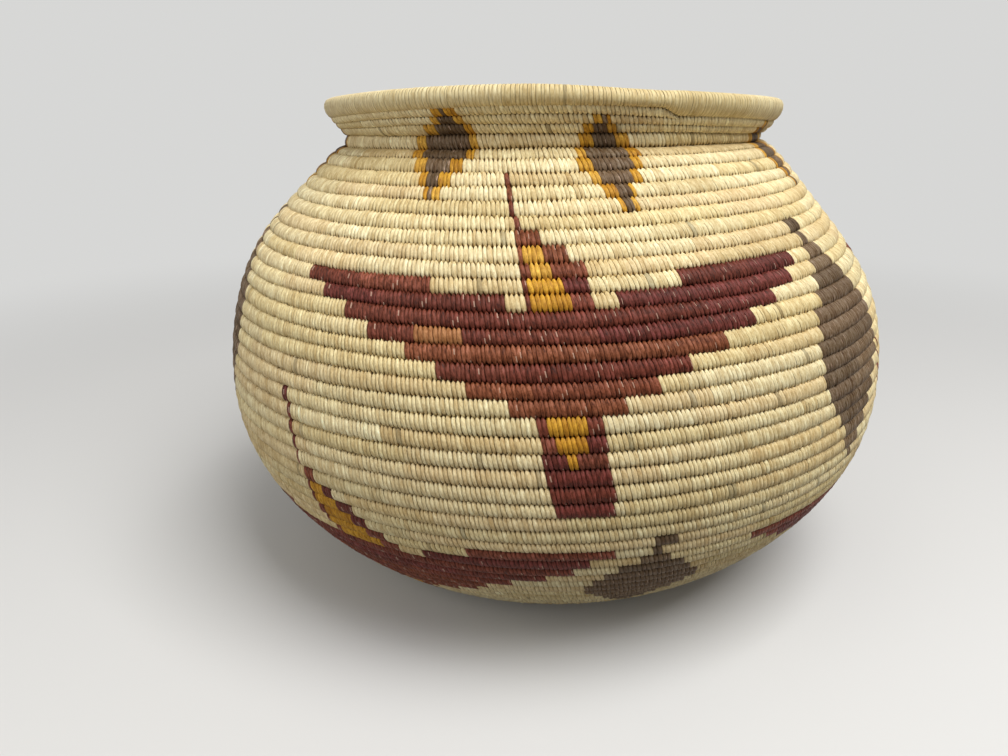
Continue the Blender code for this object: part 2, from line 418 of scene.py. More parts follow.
BIRD = Figure(
    (
        (Run(-10.9, -9.9, Dye.RUSSET),),
        (Run(-9.9, -9.1, Dye.RUSSET),),
        (Run(-9.0, -8.1),),
        (Run(-8.4, -7.6),),
        (Run(-7.9, -3.8, Dye.RUSSET),),
        (Run(-7.1, -6.2, Dye.RUSSET), Run(-6.2, -3.6, Dye.GOLD), Run(-3.6, 0.4, Dye.RUSSET)),
        (Run(-6.6, -5.4, Dye.RUSSET), Run(-5.4, -2.1, Dye.GOLD), Run(-2.1, 2.8, Dye.RUSSET)),
        (Run(-42.3, -19.2), Run(-6.2, -5.1), Run(-5.1, -0.7, Dye.GOLD), Run(-0.7, 3.4), Run(16.7, 40.0)),
        (Run(-37.6, -8.2), Run(-5.4, -4.9), Run(-4.9, 0.9, Dye.GOLD), Run(0.9, 3.3), Run(7.1, 37.1)),
        (Run(-32.3, 32.3),),
        (Run(-27.8, -20.4), Run(-20.4, -13.9, Dye.TAN), Run(-13.9, 27.0)),
        (Run(-21.5, 21.7, Dye.RUSSET),),
        (Run(-16.9, 16.1),),
        (Run(-12.6, 11.9, Dye.RUSSET),),
        (Run(-7.2, 7.3, Dye.RUSSET),),
        (Run(-3.8, -2.4), Run(-2.4, 2.7, Dye.GOLD), Run(2.7, 4.6)),
        (Run(-3.1, -1.1), Run(-1.1, 2.3, Dye.GOLD), Run(2.3, 4.8)),
        (Run(-3.0, 0.1), Run(0.1, 1.7, Dye.GOLD), Run(1.7, 5.2)),
        (Run(-2.5, 5.7),),
        (Run(-2.1, 5.9),),
        (Run(-1.5, 6.1),),
    )
)

LOW_BIRD = Figure(
    (
        (Run(-12.9, -11.9),),
        (Run(-11.9, -11.2),),
        (Run(-11.4, -10.4),),
        (Run(-10.7, -9.8),),
        (Run(-10.4, -9.4),),
        (Run(-9.4, -6.9, Dye.RUSSET),),
        (Run(-8.9, -8.2), Run(-8.2, -5.9, Dye.GOLD), Run(-5.9, -3.9)),
        (Run(-8.9, -8.2), Run(-8.2, -3.9, Dye.GOLD), Run(-3.9, -0.9)),
        (Run(-8.4, -7.7), Run(-7.7, -1.9, Dye.GOLD), Run(-1.9, 1.1)),
        (Run(-7.9, -7.1), Run(-7.1, 0.6, Dye.GOLD), Run(0.6, 3.6), Run(16.5, 37.4)),
        (Run(-44.5, -19.2), Run(-6.7, -6.0), Run(-6.0, 2.6, Dye.GOLD), Run(2.6, 5.4), Run(9.6, 33.5)),
        (Run(-40.0, 31.7),),
        (Run(-36.0, 27.6),),
        (Run(-29.5, 22.2),),
        (Run(-22.5, 17.8, Dye.RUSSET),),
    )
    + BIRD.rounds[12:19]
)


def lozenge(*rounds: tuple[float, float]) -> Figure:
    """Charts a lozenge, umber all over, from where each round starts and ends."""
    return Figure(tuple((Run(start, end, Dye.UMBER),) for start, end in rounds))


TALL_LOZENGE = lozenge(
    *((-5.3, -0.8), (-3.4, -1.4), (-3.8, 0.9), (-4.9, 2.4), (-5.5, 4.3), (-7.2, 6.2)),
    *((-9.1, 8.6), (-9.5, 9.2), (-10.1, 9.9), (-10.2, 10.2), (-10.2, 10.0), (-8.8, 8.6)),
    *((-7.6, 7.2), (-5.6, 5.9), (-3.6, 4.1), (-2.6, 2.2), (-0.7, 0.5)),
)

LOW_LOZENGE = lozenge(
    *((-1.1, 2.2), (-1.1, 0.3), (-2.4, 2.3), (-5.0, 4.4), (-7.3, 6.3), (-8.5, 8.4)),
    *((-9.7, 9.1), (-9.0, 8.0), (-7.5, 6.6), (-5.6, 4.8), (-3.6, 3.0), (-1.5, 1.3)),
)


def diamond(*rounds: tuple[float, float, float, float]) -> Figure:
    """Charts a neck diamond, umber with a gold edge.

    Args:
        rounds: For each round, the outer and inner end of the left gold run, then of the right one.

    Returns:
        The figure.
    """
    charted = []
    for left, core_start, core_end, right in rounds:
        gold_left = Run(left, core_start, Dye.GOLD)
        gold_right = Run(core_end, right, Dye.GOLD)
        charted.append((gold_left, Run(core_start, core_end, Dye.UMBER), gold_right))
    return Figure(tuple(charted))


LEFT_DIAMOND = diamond(
    (-2.9, -0.9, 0.5, 2.6),
    (-4.2, -1.5, 1.8, 4.1),
    (-6.2, -3.3, 3.5, 5.8),
    (-9.1, -6.5, 4.5, 6.8),
    (-9.3, -6.1, 4.4, 6.7),
    (-6.6, -3.5, 2.2, 4.7),
    (-4.2, -2.1, 0.9, 2.8),
    (-1.9, -0.7, 0.5, 1.7),
)

RIGHT_DIAMOND = diamond(
    (-2.7, -1.2, -0.2, 1.0),
    (-4.0, -1.9, 0.9, 3.1),
    (-5.3, -2.7, 3.2, 5.6),
    (-5.9, -3.7, 4.9, 7.7),
    (-5.8, -3.3, 5.3, 7.6),
    (-3.6, -1.8, 4.4, 5.8),
    (-1.3, 0.7, 3.3, 4.6),
    (1.0, 1.6, 3.2, 3.9),
)


@dataclass(frozen=True)
class Placed:
    """A figure on the basket: its top round, and the angle of its middle."""

    figure: Figure
    top_round: int
    middle: float


CHART = (
    Placed(BIRD, 7, 2.4),
    Placed(BIRD, 9, 114.3),
    Placed(BIRD, 7, -134.0),
    Placed(TALL_LOZENGE, 12, 51.2),
    Placed(TALL_LOZENGE, 12, 161.0),
    Placed(TALL_LOZENGE, 11, -69.5),
    Placed(LOW_BIRD, 22, -27.6),
    Placed(LOW_BIRD, 22, 76.0),
    Placed(LOW_BIRD, 22, -157.4),
    Placed(LOW_LOZENGE, 30, 15.9),
    Placed(LOW_LOZENGE, 30, 137.7),
    Placed(LOW_LOZENGE, 30, -92.5),
    Placed(LEFT_DIAMOND, 1, -74.0),
    Placed(LEFT_DIAMOND, 1, -22.4),
    Placed(RIGHT_DIAMOND, 2, 11.5),
    Placed(RIGHT_DIAMOND, 2, 63.0),
    Placed(LEFT_DIAMOND, 1, 107.0),
    Placed(RIGHT_DIAMOND, 2, 153.0),
    Placed(LEFT_DIAMOND, 1, -163.0),
    Placed(RIGHT_DIAMOND, 2, -119.0),
)


class Weaver:
    """Reads the chart and picks the splint of every stitch."""

    splint_least: int = 14
    splint_most: int = 38
    stitch_spread: float = 0.075
    rim_spread: float = 0.028
    warmth: Colour = (0.75, 1.0, 1.35)
    fleck_odds: float = 0.006
    fleck_darkness: float = 0.62

    def __init__(self, coil: Coil, seed: int) -> None:
        """Takes up the coil to stitch, and fixes the choice of splints.

        Args:
            coil: The coil's course.
            seed: Fixes the chance draws.
        """
        self.coil = coil
        self.rng = random.Random(seed)
        self.dyes = list(Dye)

    def charted(self, place: np.ndarray) -> list[Dye]:
        """Looks the dye of each stitch up in the chart.

        Args:
            place: Where on the coil each stitch lies.

        Returns:
            The dye of each.
        """
        dyes = np.zeros(len(place), dtype=int)
        for placed in CHART:
            counted = place - self.coil.place_of(placed.middle) - placed.top_round
            row = np.rint(counted).astype(int)
            off = (row - counted) * 360.0
            for number, runs in enumerate(placed.figure.rounds):
                for run in runs:
                    inside = (row == number) & (off >= run.start) & (off < run.end)
                    dyes[inside] = self.dyes.index(run.dye)
        return [self.dyes[index] for index in dyes]

    def colours(self, place: np.ndarray, charted: bool) -> np.ndarray:
        """Gives each stitch the colour of its splint.

        Args:
            place: Where on the coil each stitch lies.
            charted: Whether the chart reaches these stitches, or they are all straw.

        Returns:
            Rows of linear red, green and blue, and of how strong the fibre streaks are, grain and painted
            highlight together.
        """
        rows = []
        splint = np.zeros(3)
        left = 0
        last = None
        spread = self.stitch_spread if charted else self.rim_spread
        warmth = np.array(self.warmth)
        for dye in self.charted(place) if charted else [Dye.STRAW] * len(place):
            if left == 0 or dye is not last:
                splint = DYE_LOTS[dye].draw(self.rng)
                left = self.rng.randint(self.splint_least, self.splint_most)
                last = dye
            left -= 1
            shade = 1.0 + self.rng.gauss(0.0, spread * math.sqrt(DYE_LOTS[dye].streak_and_highlight)) * warmth
            if dye is Dye.STRAW and self.rng.random() < self.fleck_odds:
                shade *= self.fleck_darkness
            rows.append([*np.clip(splint * shade, 0.0, 1.0), DYE_LOTS[dye].streak_and_highlight])
        return np.array(rows)


@dataclass(frozen=True)
class StitchProfile:
    """The outline of a wrapped coil, as shares of its height.

    Each point is how far it lies above the middle, and how deep behind the face. The points start at the
    middle of the face and go up, round the inside of the basket, and back from below. A ridge runs along a
    stitch, whose ends reach over the next rounds, and a valley lies between two.
    """

    ridge: tuple[tuple[float, float], ...]
    valley: tuple[tuple[float, float], ...]


WALL_PROFILE = StitchProfile(
    ridge=(
        *((0.00, -0.030), (0.24, 0.000), (0.42, 0.055), (0.57, 0.135)),
        *((0.54, 0.520), (0.25, 0.960), (-0.25, 0.960), (-0.54, 0.520)),
        *((-0.51, 0.215), (-0.40, 0.085), (-0.24, 0.000)),
    ),
    valley=(
        *((0.00, 0.040), (0.24, 0.080), (0.38, 0.200), (0.46, 0.370)),
        *((0.54, 0.540), (0.24, 0.930), (-0.24, 0.930), (-0.54, 0.540)),
        *((-0.46, 0.370), (-0.38, 0.200), (-0.24, 0.080)),
    ),
)


def round_profile(points: int, swell: float, groove: float) -> StitchProfile:
    """Makes the profile of a round coil.

    Args:
        points: How many points the outline has.
        swell: How deep the coil is, as a share of its height.
        groove: How deep its valleys are, as a share of its height.

    Returns:
        The profile.
    """
    turns = [FULL_TURN * index / points for index in range(points)]
    ridge = [(0.5 * math.sin(a), 0.5 * swell * (1.0 - math.cos(a))) for a in turns]
    inner = 0.5 - groove
    valley = [(inner * math.sin(a), 0.5 * swell - inner * swell * math.cos(a)) for a in turns]
    return StitchProfile(tuple(ridge), tuple(valley))


RIM_PROFILE = round_profile(14, 1.04, 0.016)


@dataclass(frozen=True)
class Stitching:
    """How a stretch of coil is stitched."""

    pitch: float = 0.00232
    lean: float = 0.42
    uneven: float = 0.16
    rough: float = 0.014
    tip_change: float = 0.028
    tip_squeeze: float = 0.78
    lower_squeeze: float = 0.60
    flatness: float = 0.0
    profile: StitchProfile = WALL_PROFILE
    rim: bool = False


WALL_STITCHING = Stitching()
RIM_STITCHING = Stitching(
    pitch=0.0021,
    lean=0.12,
    uneven=0.32,
    rough=0.007,
    tip_change=0.0,
    tip_squeeze=0.0,
    flatness=1.0,
    profile=RIM_PROFILE,
    rim=True,
)


class StitchedCoil:
    """Wraps stretches of the coil in stitches, one mesh each."""

    shoulder_at: float = 0.21
    stations_per_stitch: int = 3
    samples_per_turn: int = 240
    seam_weld: float = 1e-6
    least_height: float = 1e-6
    tip_from: float = 0.38
    tip_to: float = 0.52
    seeds_per_turn: int = 1000

    def __init__(self, coil: Coil, weaver: Weaver) -> None:
        """Takes up the coil's course, and who picks its splints."""
        self.coil = coil
        self.weaver = weaver

    def close(self, mesh: bpy.types.Mesh, points: int) -> None:
        """Welds the rolled grid along its seam, and closes the two ends.

        Args:
            mesh: The rolled mesh.
            points: How many points a ring has.
        """
        shell = bmesh.new()
        shell.from_mesh(mesh)
        bmesh.ops.remove_doubles(shell, verts=shell.verts[:], dist=self.seam_weld)
        open_ends = [edge for edge in shell.edges if edge.is_boundary]
        bmesh.ops.holes_fill(shell, edges=open_ends, sides=points)
        bmesh.ops.recalc_face_normals(shell, faces=shell.faces[:])
        shell.to_mesh(mesh)
        shell.free()

    def stations(self, first: float, turns: float, stitching: Stitching) -> np.ndarray:
        """Spreads the stitches evenly along a stretch, with a little unevenness.

        Args:
            first: The place on the coil where the stretch starts.
            turns: How many turns it has.
            stitching: How it is stitched.

        Returns:
            The place on the coil of each valley, and of each stitch's two shoulders after it.
        """
        places = first + np.linspace(0.0, turns, int(self.samples_per_turn * turns) + 1)
        upper, lower = self.coil.face(places, stitching.rim)
        radius = (upper[:, 0] + lower[:, 0]) / 2.0
        steps = np.diff(places) * FULL_TURN * (radius[1:] + radius[:-1]) / 2.0
        run = np.concatenate([[0.0], np.cumsum(steps)])
        stitches = max(int(round(run[-1] / stitching.pitch)), 3)
        valleys = np.arange(stitches + 1, dtype=float)
        shift = [self.weaver.rng.uniform(-1.0, 1.0) * stitching.uneven for _ in range(stitches - 1)]
        valleys[1:-1] += shift
        width = np.diff(valleys)
        spots = np.empty(self.stations_per_stitch * stitches + 1)
        spots[0 :: self.stations_per_stitch] = valleys
        spots[1 :: self.stations_per_stitch] = valleys[:-1] + self.shoulder_at * width
        spots[2 :: self.stations_per_stitch] = valleys[1:] - self.shoulder_at * width
        return np.interp(spots * run[-1] / stitches, run, places)

    def laid(
        self, place: np.ndarray, ring: np.ndarray, point: np.ndarray, stitching: Stitching
    ) -> np.ndarray:
        """Lays the tube's points along the coil.

        Args:
            place: The place on the coil of each ring.
            ring: The ring of each point.
            point: The number of each point on its ring.
            stitching: How it is stitched.

        Returns:
            Rows of X, Y and Z.
        """
        first, last = place[0], place[-1]
        each = self.stations_per_stitch
        stitch = np.minimum(ring // each, (len(place) - 1) // each - 1)
        on_ridge = ring % each != 0
        ridge, valley = np.array(stitching.profile.ridge), np.array(stitching.profile.valley)
        shape = np.where(on_ridge[:, None], ridge[point], valley[point])
        chance = np.random.default_rng(int(first * self.seeds_per_turn) + len(place))
        rough = chance.normal(0.0, stitching.rough, len(place))[ring]
        tip_change = chance.normal(0.0, stitching.tip_change, len(place))[stitch * each]
        at_tip = smooth_step(np.abs(shape[:, 0]), self.tip_from, self.tip_to) * on_ridge
        above = shape[:, 0] + at_tip * tip_change
        width = place[(stitch + 1) * each] - place[stitch * each]
        middle = (place[(stitch + 1) * each] + place[stitch * each]) / 2.0
        squeeze = stitching.tip_squeeze * np.where(shape[:, 0] > 0.0, 1.0, stitching.lower_squeeze)
        spot = place[ring] + (middle - place[ring]) * squeeze * at_tip
        spot = spot + stitching.lean * width * 2.0 * np.clip(shape[:, 0], -0.5, 0.5)
        spot = np.clip(spot, first, last)
        upper, lower = self.coil.face(spot, stitching.rim)
        along = lower - upper
        height = np.maximum(np.linalg.norm(along, axis=1), self.least_height)
        along = along / height[:, None]
        outward = np.stack([-along[:, 1], along[:, 0]], axis=-1)
        usual = self.coil.laying.rim_coil
        depth = height + stitching.flatness * (usual - height)
        deep = (shape[:, 1] + rough) * depth
        fold_above, fold_below = (fold[ring] for fold in self.coil.folds(place, stitching.rim))
        above = above * (height + 2.0 * deep * np.where(above > 0.0, fold_above, fold_below))
        flat = (upper + lower) / 2.0 - along * above[:, None] - outward * deep[:, None]
        angle = self.coil.angle(spot)
        level = np.maximum(flat[:, 1], 0.0)
        return np.stack([flat[:, 0] * np.cos(angle), flat[:, 0] * np.sin(angle), level], axis=-1)

    def mark(self, mesh: bpy.types.Mesh, stations: int, above: np.ndarray, colours: np.ndarray) -> None:
        """Writes each stitch's colour, and the map that its fibres follow.

        Args:
            mesh: The rolled grid, before it is closed.
            stations: How many rings it has.
            above: How far above its middle each point of a ring lies, as a share of the round's height.
            colours: The colour of each stitch, and how strong its fibre streaks of grain and painted
                highlight are.
        """
        corners = np.empty(len(mesh.loops), dtype=int)
        mesh.loops.foreach_get("vertex_index", corners)
        ring = (corners % stations).reshape(-1, 4)
        across = corners // stations % len(above)
        stitch = np.repeat(ring.min(axis=1) // self.stations_per_stitch, 4)
        layer = mesh.color_attributes.new("splint_colour", "FLOAT_COLOR", "CORNER")
        layer.data.foreach_set("color", colours[stitch].ravel())
        uv = np.stack([ring.ravel() / self.stations_per_stitch, above[across]], axis=-1)
        mesh.uv_layers.new(name="stitches").data.foreach_set("uv", uv.ravel())

    def wrap(self, name: str, first: float, turns: float, stitching: Stitching) -> bpy.types.Object:
        """Makes the stitched piece for one stretch of coil.

        Args:
            name: The piece's name.
            first: The place on the coil where it starts.
            turns: How many turns it has.
            stitching: How it is stitched.

        Returns:
            The new object.
        """
        place = self.stations(first, turns, stitching)
        points = len(stitching.profile.ridge)
        count = np.arange(len(place) * (points + 1))
        laid = self.laid(place, count % len(place), count // len(place) % points, stitching)
        middles = (place[1 :: self.stations_per_stitch] + place[2 :: self.stations_per_stitch]) / 2.0
        colours = self.weaver.colours(middles, not stitching.rim)
        above = np.array(stitching.profile.ridge)[:, 0]
        return self.rolled(name, laid, len(place), above, colours)

    def rolled(
        self, name: str, laid: np.ndarray, stations: int, above: np.ndarray, colours: np.ndarray
    ) -> bpy.types.Object:
        """Rolls a grid into a stitched piece.

        Args:
            name: The piece's name.
            laid: Where each of the grid's points goes.
            stations: How many rings the piece has.
            above: How far above its middle each point of a ring lies.
            colours: The colour of each stitch, and how strong its fibre streaks of grain and painted
                highlight are.

        Returns:
            The new object.
        """
        flat = bmesh.new()
        bmesh.ops.create_grid(flat, x_segments=stations - 1, y_segments=len(above), size=1.0)
        mesh = bpy.data.meshes.new(name)
        flat.to_mesh(mesh)
        flat.free()
        mesh.vertices.foreach_set("co", laid.ravel())
        self.mark(mesh, stations, above, colours)
        self.close(mesh, len(above))
        mesh.shade_smooth()
        mesh.update()
        piece = bpy.data.objects.new(name, mesh)
        bpy.context.scene.collection.objects.link(piece)
        return piece


@dataclass(frozen=True)
class StartKnot:
    """The knot that the coil starts from: splint wound over a small ring, close to its middle."""

    stitches: int = 18
    points: int = 12
    dimple: float = 0.30
    groove: float = 0.045
    lap: float = 0.0005

    def reach(self, turned: np.ndarray, coil: Coil) -> np.ndarray:
        """Measures how far out the knot reaches, up to the coil's first loop.

        Args:
            turned: Angles about +Z.
            coil: The coil's course.

        Returns:
            The knot's radius at each angle.
        """
        laying = coil.laying
        last_turn = sum(count for _, count, _, _ in laying.zones) + laying.base_loops
        share = (laying.seam_angle - turned) / FULL_TURN % 1.0
        return coil.face(last_turn + share, False)[1][:, 0] + self.lap

    def wind(self, wrapper: StitchedCoil, laying: Laying) -> bpy.types.Object:
        """Winds the knot.

        Args:
            wrapper: Rolls the mesh.
            laying: Gives the knot's height.

        Returns:
            The new object.
        """
        stations = wrapper.stations_per_stitch * self.stitches + 1
        count = np.arange(stations * (self.points + 1))
        ring = count % stations
        share = count // stations / self.points
        turned = FULL_TURN * ring / (stations - 1)
        reach = self.reach(turned, wrapper.coil)
        half_width = reach / 2.0
        around = FULL_TURN * (0.5 - share)
        sunk = np.where(ring % wrapper.stations_per_stitch == 0, 1.0 - self.groove, 1.0)
        radius = half_width * (1.0 + np.cos(around) * sunk)
        radius = np.where((share == 0.0) | (share == 1.0), 0.0, radius)
        half_height = laying.knot_height / 2.0
        rise = np.sin(around) * sunk * (1.0 - self.dimple * (1.0 - radius / reach) ** 2)
        height = half_height * (1.0 + rise)
        laid = np.stack([radius * np.cos(turned), radius * np.sin(turned), height], axis=-1)
        laid[ring == stations - 1] = laid[ring == 0]
        straw = wrapper.weaver.colours(np.zeros(self.stitches), False)
        above = 0.5 * np.sin(FULL_TURN * np.arange(self.points) / self.points)
        return wrapper.rolled("wound_start_knot", laid, stations, above, straw)


@dataclass(frozen=True)
class PalmFinish:
    """How one part of the basket's palm looks."""

    name: str
    roughness: float = 0.56
    # How strongly the fibre streaks lighten and darken the colour, as grain and painted highlight.
    streak_and_highlight: float = 0.90
    # How strong the painted shade in the slits and notches is.
    slit: float = 0.95
    upper_tips: float = 0.60
    relief: float = 0.80
    soil: float = 0.14


class NodeKit:
    """Adds nodes to one node tree, and joins them up."""

    def __init__(self, tree: bpy.types.NodeTree) -> None:
        """Takes up the tree."""
        self.tree = tree

    def feed(self, socket: Socket, value: object) -> None:
        """Links a socket to another one, or gives it a plain value.

        Args:
            socket: The socket that takes it.
            value: A socket, or a number or colour.
        """
        if isinstance(value, Socket):
            self.tree.links.new(value, socket)
        else:
            socket.default_value = value

    def node(self, kind: str, inputs: dict[str, object], **settings: object) -> bpy.types.Node:
        """Adds a node.

        Args:
            kind: Its type, without the words ShaderNode in front.
            inputs: What its sockets take, by their names.
            settings: Its own settings, by their names.

        Returns:
            The node.
        """
        node = self.tree.nodes.new(f"ShaderNode{kind}")
        for name, value in settings.items():
            setattr(node, name, value)
        for name, value in inputs.items():
            self.feed(node.inputs[name], value)
        return node

    def maths(self, operation: str, *values: object) -> Socket:
        """Adds one sum.

        Args:
            operation: Its kind, in Blender's words.
            values: Sockets or numbers, in order.

        Returns:
            The socket with its result.
        """
        node = self.node("Math", {}, operation=operation)
        for socket, value in zip(node.inputs, values):
            self.feed(socket, value)
        return node.outputs["Value"]

    def product(self, first: object, *others: object) -> Socket:
        """Multiplies values, one after another.

        Args:
            first: A socket or a number.
            others: More of them.

        Returns:
            The socket with the product.
        """
        for other in others:
            first = self.maths("MULTIPLY", first, other)
        return first

    def apart(self, value: object, other: object) -> Socket:
        """The socket with how far two values lie apart."""
        return self.maths("ABSOLUTE", self.maths("SUBTRACT", value, other))

    def stepped(self, value: object, low: float, high: float) -> Socket:
        """Adds a smooth step from 0 to 1, between a low and a high value."""
        inputs = {"Value": value, "From Min": low, "From Max": high}
        return self.node("MapRange", inputs, interpolation_type="SMOOTHSTEP").outputs["Result"]

    def chance(self, number: object, shift: float) -> Socket:
        """Draws a number from 0 to 1 for each whole number. The shift tells this draw from others."""
        inputs = {"W": self.maths("ADD", number, shift)}
        return self.node("TexWhiteNoise", inputs, noise_dimensions="1D").outputs["Value"]

    def mixed(self, share: object, first: object, second: object, blend: str = "MIX") -> Socket:
        """Mixes two colours, by the second one's share."""
        inputs = {"Factor": share, "A": first, "B": second}
        return self.node("Mix", inputs, data_type="RGBA", blend_type=blend).outputs["Result"]

    def cover(self, output: bpy.types.Node, share: object, first: object, second: object) -> None:
        """Mixes two shaders into the surface of an output.

        Args:
            output: The output node.
            share: The second shader's share.
            first: The first shader's socket.
            second: The second shader's socket.
        """
        mix = self.node("MixShader", {"Fac": share})
        self.feed(mix.inputs[1], first)
        self.feed(mix.inputs[2], second)
        self.feed(output.inputs["Surface"], mix.outputs["Shader"])


class EffectGroup(NodeKit):
    def __init__(self, name: str, inputs: dict[str, str], outputs: dict[str, str]) -> None:
        """Starts the group.

        Args:
            name: Its name.
            inputs: The kind of each socket that goes in, by its name.
            outputs: The same for each socket that comes out.
        """
        super().__init__(bpy.data.node_groups.new(name, "ShaderNodeTree"))
        for in_out, sockets in (("INPUT", inputs), ("OUTPUT", outputs)):
            for socket, kind in sockets.items():
                self.tree.interface.new_socket(name=socket, in_out=in_out, socket_type=f"NodeSocket{kind}")
        self.given = self.tree.nodes.new("NodeGroupInput").outputs
        self.made = self.tree.nodes.new("NodeGroupOutput").inputs


class SplintFibre(EffectGroup):
    """The splint's fibres: streaks, partly grain and partly painted highlight, slits between stitches
    darkened with painted shade, and pale ticks on dyed ones.
    """

    streaks_per_stitch: float = 2.5
    streaks_along: float = 2.2
    streak_detail: float = 3.0
    streak_roughness: float = 0.7
    streak_warmth: Colour = (0.75, 1.0, 1.45)
    streak_height: float = 0.7
    least_light: float = 0.25
    slit_from: float = 0.35
    slit_to: float = 0.48
    slit_least: float = 0.15
    slit_varies: float = 0.75
    slit_draw: float = 0.25
    # The dark brown of the painted shade that fills the slits between stitches and the notches between rows.
    slit_shade_colour: Colour = (0.20, 0.135, 0.075)
    tip_from: float = 0.22
    tip_to: float = 0.50
    tip_widens: float = 0.20
    notch_to: float = 0.42
    tick_from_contrast: float = 3.0
    tick_odds: float = 0.20
    tick_odds_draw: float = 0.5
    tick_across: float = 0.3
    tick_half_width: float = 0.1
    tick_lowest: float = -0.5
    tick_spread: float = 0.9
    tick_place_draw: float = 0.75
    tick_half_length: float = 0.16
    tick_strength: float = 0.7
    tick_colour: Colour = (0.54, 0.37, 0.27)

    def __init__(self) -> None:
        """Builds the group. Its map runs along the coil by stitches, and up the round from its middle."""
        inputs = {"Colour": "Color", "Map": "Vector"}
        inputs |= dict.fromkeys(("Contrast", "Streak", "Slit", "Upper Tips"), "Float")
        super().__init__("splint_fibre", inputs, {"Colour": "Color", "Height": "Float"})
        split = self.node("SeparateXYZ", {"Vector": self.given["Map"]}).outputs
        self.run, self.above = split["X"], split["Y"]
        streaks, slit = self.streaks(), self.slit()
        # Painted shade: the slits between stitches, and the notches where they meet the next rows, are
        # darkened towards a dark brown.
        slit_shade = self.product(slit, self.given["Slit"])
        shaded = self.mixed(slit_shade, self.streaked(streaks), (*self.slit_shade_colour, 1.0), "MULTIPLY")
        self.feed(self.made["Colour"], self.mixed(self.tick(), shaded, (*self.tick_colour, 1.0)))
        raised = self.product(streaks, self.streak_height)
        self.feed(self.made["Height"], self.maths("SUBTRACT", raised, slit))

    def streaks(self) -> Socket:
        """Adds the noise of fibres that run along the stitches.

        Returns:
            The socket with the fibres' height.
        """
        scale = (self.streaks_per_stitch, self.streaks_along, 1.0)
        stretch = self.node("Mapping", {"Vector": self.given["Map"], "Scale": scale})
        inputs = {
            "Vector": stretch.outputs["Vector"],
            "Scale": 1.0,
            "Detail": self.streak_detail,
            "Roughness": self.streak_roughness,
        }
        return self.node("TexNoise", inputs, noise_dimensions="2D").outputs["Fac"]

    def streaked(self, streaks: Socket) -> Socket:
        """Lightens and darkens the splint's colour along its streaks, as the fibres' grain and as painted
        highlight, and warms the dark ones.

        Args:
            streaks: The noise of the fibres.

        Returns:
            The socket with the new colour.
        """
        # Painted highlight: the streaks lighten the colour along the fibres, most on the dyed stitches, on
        # top of their grain.
        strength = self.product(self.given["Streak"], self.given["Contrast"])
        change = self.product(self.maths("SUBTRACT", streaks, 0.5), strength)
        light = self.maths("MAXIMUM", self.maths("ADD", change, 1.0), self.least_light)
        warmths = zip("XYZ", self.streak_warmth)
        channels = {axis: self.maths("POWER", light, warmth) for axis, warmth in warmths}
        tinted = self.node("VectorMath", {}, operation="MULTIPLY")
        self.feed(tinted.inputs[0], self.given["Colour"])
        self.feed(tinted.inputs[1], self.node("CombineXYZ", channels).outputs["Vector"])
        return tinted.outputs["Vector"]

    def slit(self) -> Socket:
        """Adds the slits between stitches, which widen into notches at the tips.

        Returns:
            The socket with how deep they are, which gives both the bump and the painted shade in the slits
            and notches.
        """
        edge = self.apart(self.maths("FRACT", self.run), 0.5)
        upper = self.product(self.maths("MAXIMUM", self.above, 0.0), self.given["Upper Tips"])
        lower = self.product(self.maths("MINIMUM", self.above, 0.0), -1.0)
        tip = self.stepped(self.maths("ADD", upper, lower), self.tip_from, self.tip_to)
        widened = self.maths("MULTIPLY_ADD", tip, self.tip_widens, edge)
        slit = self.stepped(widened, self.slit_from, self.slit_to)
        nearest = self.maths("FLOOR", self.maths("ADD", self.run, 0.5))
        drawn = self.chance(nearest, self.slit_draw)
        opened = self.maths("MULTIPLY_ADD", drawn, self.slit_varies, self.slit_least)
        # Near the row's edges every slit opens fully, so the painted shade there darkens the groove between
        # rows.
        notch = self.stepped(self.maths("ABSOLUTE", self.above), self.tip_from, self.notch_to)
        return self.product(slit, self.maths("MAXIMUM", opened, notch))

    def tick(self) -> Socket:
        """Adds the pale tick that some of the dyed stitches have.

        Returns:
            The socket with how strong it is.
        """
        stitch = self.maths("FLOOR", self.run)
        picked = self.maths("LESS_THAN", self.chance(stitch, self.tick_odds_draw), self.tick_odds)
        across = self.apart(self.maths("FRACT", self.run), self.tick_across)
        thin = self.maths("LESS_THAN", across, self.tick_half_width)
        drawn = self.chance(stitch, self.tick_place_draw)
        middle = self.maths("MULTIPLY_ADD", drawn, self.tick_spread, self.tick_lowest)
        short = self.maths("LESS_THAN", self.apart(self.above, middle), self.tick_half_length)
        dyed = self.maths("GREATER_THAN", self.given["Contrast"], self.tick_from_contrast)
        return self.product(picked, thin, short, dyed, self.tick_strength)


class PalmAge(EffectGroup):
    """The signs of age: broad patches of handling and dust that darken and dull the palm."""

    scale: float = 14.0
    detail: float = 4.0
    starts: float = 0.42
    full: float = 0.72
    colour: Colour = (0.62, 0.50, 0.36)
    dulls: float = 0.25

    def __init__(self) -> None:
        """Builds the group."""
        inputs = {"Colour": "Color", "Amount": "Float", "Roughness": "Float"}
        super().__init__("palm_age", inputs, {"Colour": "Color", "Roughness": "Float"})
        where = self.node("TexCoord", {}).outputs["Object"]
        noise = self.node("TexNoise", {"Vector": where, "Scale": self.scale, "Detail": self.detail})
        spread = {"Value": noise.outputs["Fac"], "From Min": self.starts, "From Max": self.full}
        mask = self.product(self.node("MapRange", spread).outputs["Result"], self.given["Amount"])
        aged = self.mixed(mask, self.given["Colour"], (*self.colour, 1.0), "MULTIPLY")
        self.feed(self.made["Colour"], aged)
        worn = self.product(mask, self.dulls)
        self.feed(self.made["Roughness"], self.maths("ADD", self.given["Roughness"], worn))


